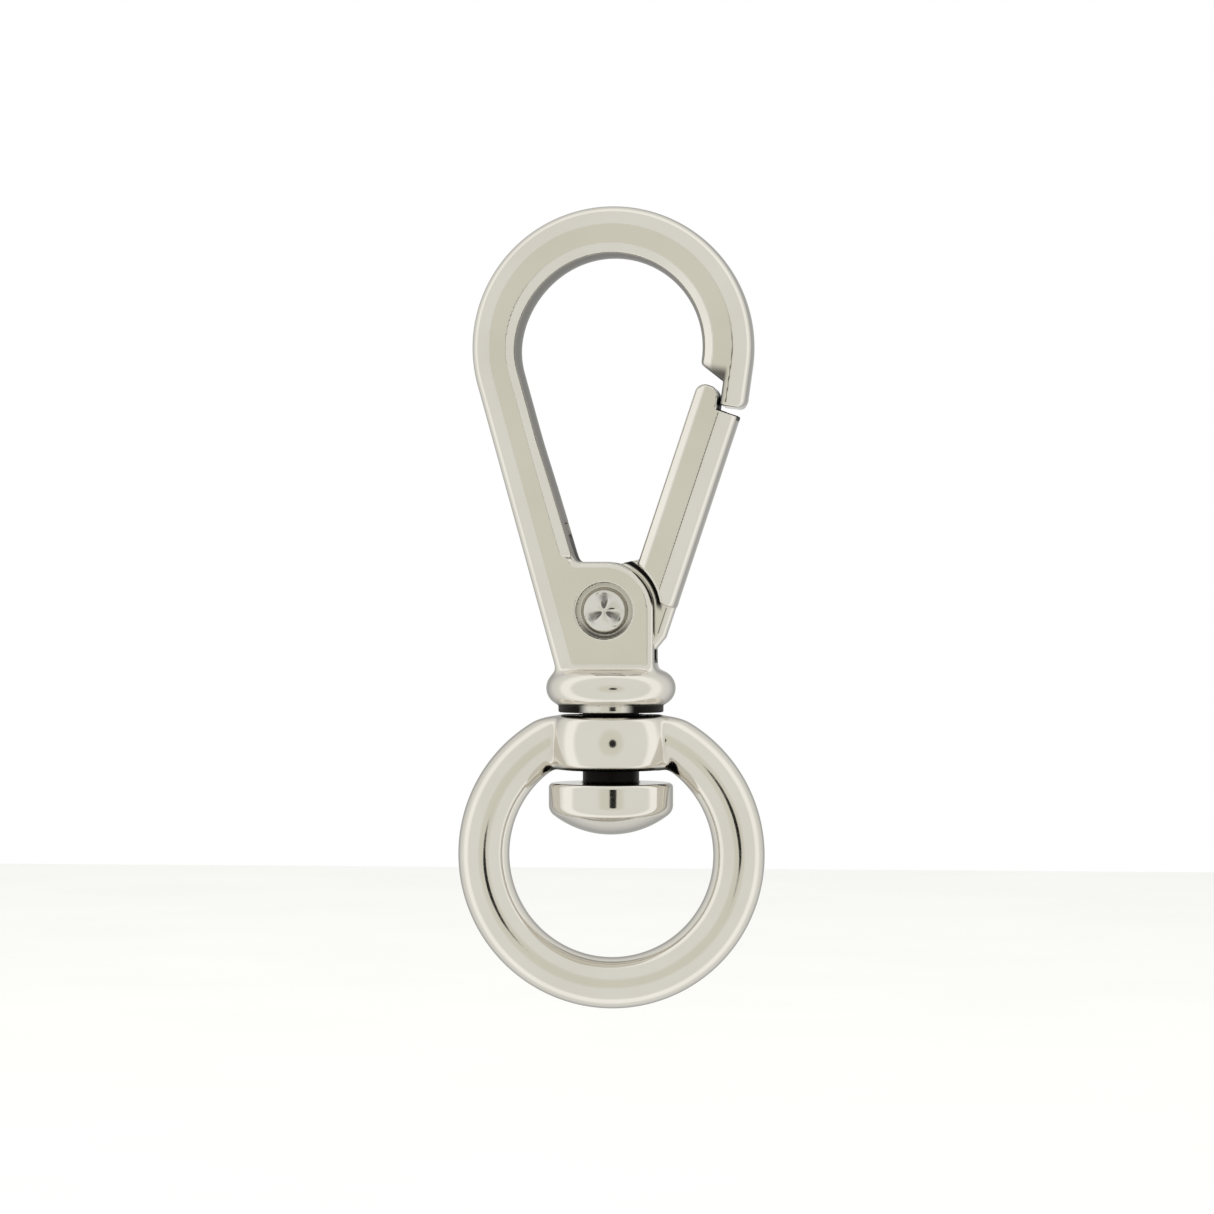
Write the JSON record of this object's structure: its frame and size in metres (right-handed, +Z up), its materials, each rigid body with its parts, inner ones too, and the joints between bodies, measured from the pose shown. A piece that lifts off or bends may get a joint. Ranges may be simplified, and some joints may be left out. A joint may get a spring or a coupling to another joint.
{
  "type": "swivel snap hook",
  "caption": "Plated cast snap hook with a sprung hinged gate, turning on a button-headed swivel stud in the hub of a round ring.",
  "frame": {"origin": "centre of the ring eye, on the swivel axis", "axes": "+Z up the swivel axis to the hook, +X to the gate side in the plane of the hook, -Y towards the viewer of the front face"},
  "size_m": [0.024, 0.01, 0.0625],
  "materials": {
    "ring_plating": "polished",
    "stud_plating": "polished",
    "body_plating": "polished",
    "gate_plating": "polished",
    "rivet_steel": "polished",
    "spring_steel": "satin"
  },
  "bodies": {
    "ring": {"swivel_ring": "ring_plating"},
    "hook": {"hook_body": "body_plating", "swivel_stud": "stud_plating", "gate_rivet": "rivet_steel", "gate_spring": "spring_steel"},
    "gate": {"gate": "gate_plating"}
  },
  "joints": [
    {"name": "swivel", "type": "hinge", "parent": "ring", "child": "hook", "pos_m": [0, 0, 0.00875], "axis": [0, 0, 1], "continuous": true},
    {"name": "gate_hinge", "type": "hinge", "parent": "hook", "child": "gate", "pos_m": [-0.00028, 0, 0.019], "axis": [0, -1, 0], "range_deg": [0, 39], "stiffness_Nm_per_rad": 0.03, "springref_deg": -40.11, "deforming": ["gate_spring"]}
  ]
}
